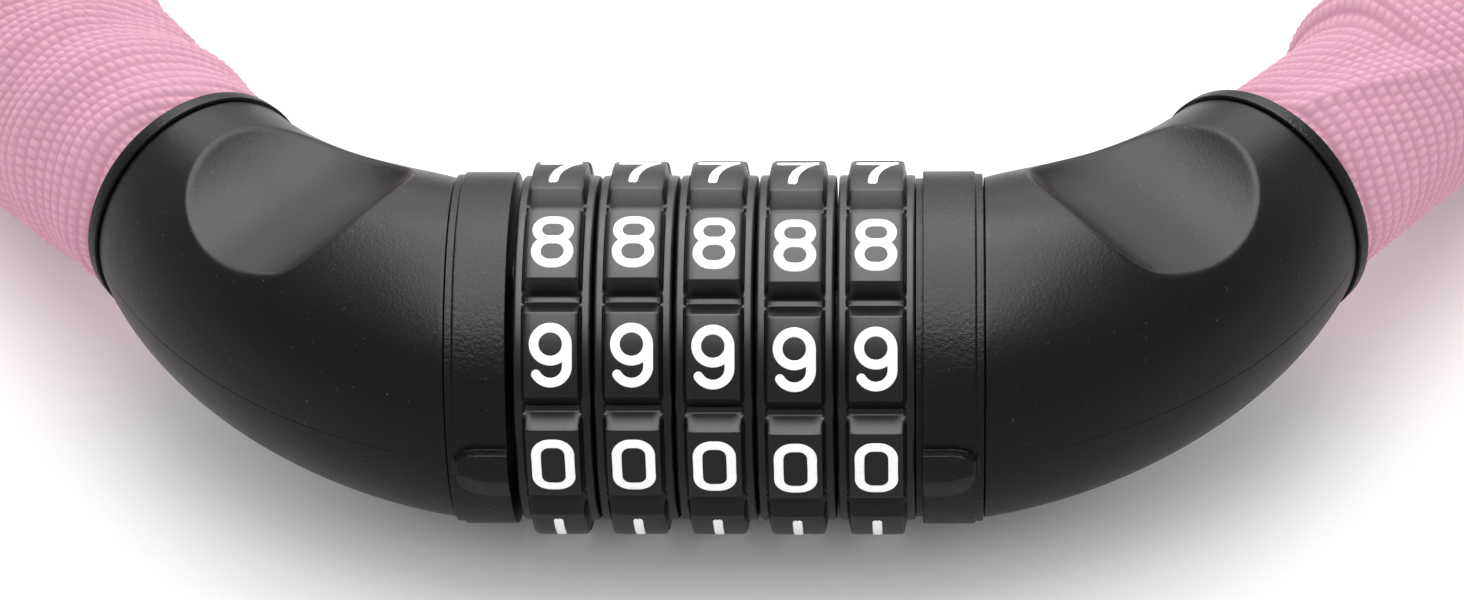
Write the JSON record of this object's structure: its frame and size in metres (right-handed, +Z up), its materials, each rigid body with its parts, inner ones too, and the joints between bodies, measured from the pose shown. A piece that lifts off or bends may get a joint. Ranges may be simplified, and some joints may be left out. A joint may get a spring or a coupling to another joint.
{
  "type": "combination chain lock",
  "caption": "Combination chain lock with number dials between two curved handles and a chain in a woven sleeve that joins their ends in a loop.",
  "frame": {"origin": "on the floor, in the middle of the lock body's bounding box (cord nodes left out)", "axes": "+X along the dial axis towards the side that pulls off, +Z up, the chain loop lies behind the lock in +Y"},
  "size_m": [0.2498, 0.3454, 0.0339],
  "materials": {
    "handle_plastic": "fine matt soft-touch",
    "collar_plastic": "satin moulded",
    "dial_plastic": "satin moulded",
    "white_paint": "printed, satin",
    "sleeve_fabric": "tight woven polyester",
    "chain_steel": "zinc plated",
    "steel": "turned, zinc plated",
    "spring_steel": "rolled",
    "zinc_casting": "die cast",
    "brass": "turned"
  },
  "bodies": {
    "lock_body": {"left_upper_shell": "handle_plastic", "left_lower_shell": "handle_plastic", "left_collar": "collar_plastic", "left_collar_screws": "steel", "left_anchor": "zinc_casting", "left_anchor_pin": "steel", "left_end_ring": "collar_plastic", "lock_barrel": "brass", "barrel_pin": "steel", "detent_spring": "spring_steel", "retaining_clip": "spring_steel", "chain_links": "chain_steel", "chain_sleeve": "sleeve_fabric"},
    "dial_1": {"dial_1": "dial_plastic", "dial_1_numerals": "white_paint", "code_ring_1": "brass"},
    "dial_2": {"dial_2": "dial_plastic", "dial_2_numerals": "white_paint", "code_ring_2": "brass"},
    "dial_3": {"dial_3": "dial_plastic", "dial_3_numerals": "white_paint", "code_ring_3": "brass"},
    "dial_4": {"dial_4": "dial_plastic", "dial_4_numerals": "white_paint", "code_ring_4": "brass"},
    "dial_5": {"dial_5": "dial_plastic", "dial_5_numerals": "white_paint", "code_ring_5": "brass"},
    "bolt_side": {"right_upper_shell": "handle_plastic", "right_lower_shell": "handle_plastic", "right_collar": "collar_plastic", "right_collar_screws": "steel", "right_anchor": "zinc_casting", "right_anchor_pin": "steel", "right_end_ring": "collar_plastic", "lock_bolt": "steel", "bolt_pin": "steel"}
  },
  "joints": [
    {"name": "dial_1_spin", "type": "hinge", "parent": "lock_body", "child": "dial_1", "pos_m": [-0.0143, -0.0057, 0.01693], "axis": [1, 0, 0], "continuous": true},
    {"name": "dial_2_spin", "type": "hinge", "parent": "lock_body", "child": "dial_2", "pos_m": [-0.00715, -0.0057, 0.01693], "axis": [1, 0, 0], "continuous": true},
    {"name": "dial_3_spin", "type": "hinge", "parent": "lock_body", "child": "dial_3", "pos_m": [0, -0.0057, 0.01693], "axis": [1, 0, 0], "continuous": true},
    {"name": "dial_4_spin", "type": "hinge", "parent": "lock_body", "child": "dial_4", "pos_m": [0.00715, -0.0057, 0.01693], "axis": [1, 0, 0], "continuous": true},
    {"name": "dial_5_spin", "type": "hinge", "parent": "lock_body", "child": "dial_5", "pos_m": [0.0143, -0.0057, 0.01693], "axis": [1, 0, 0], "continuous": true},
    {"name": "bolt_slide", "type": "slide", "parent": "lock_body", "child": "bolt_side", "axis": [1, 0, 0], "range_m": [0, 0.04], "deforming": ["chain_sleeve", "chain_links"]}
  ]
}
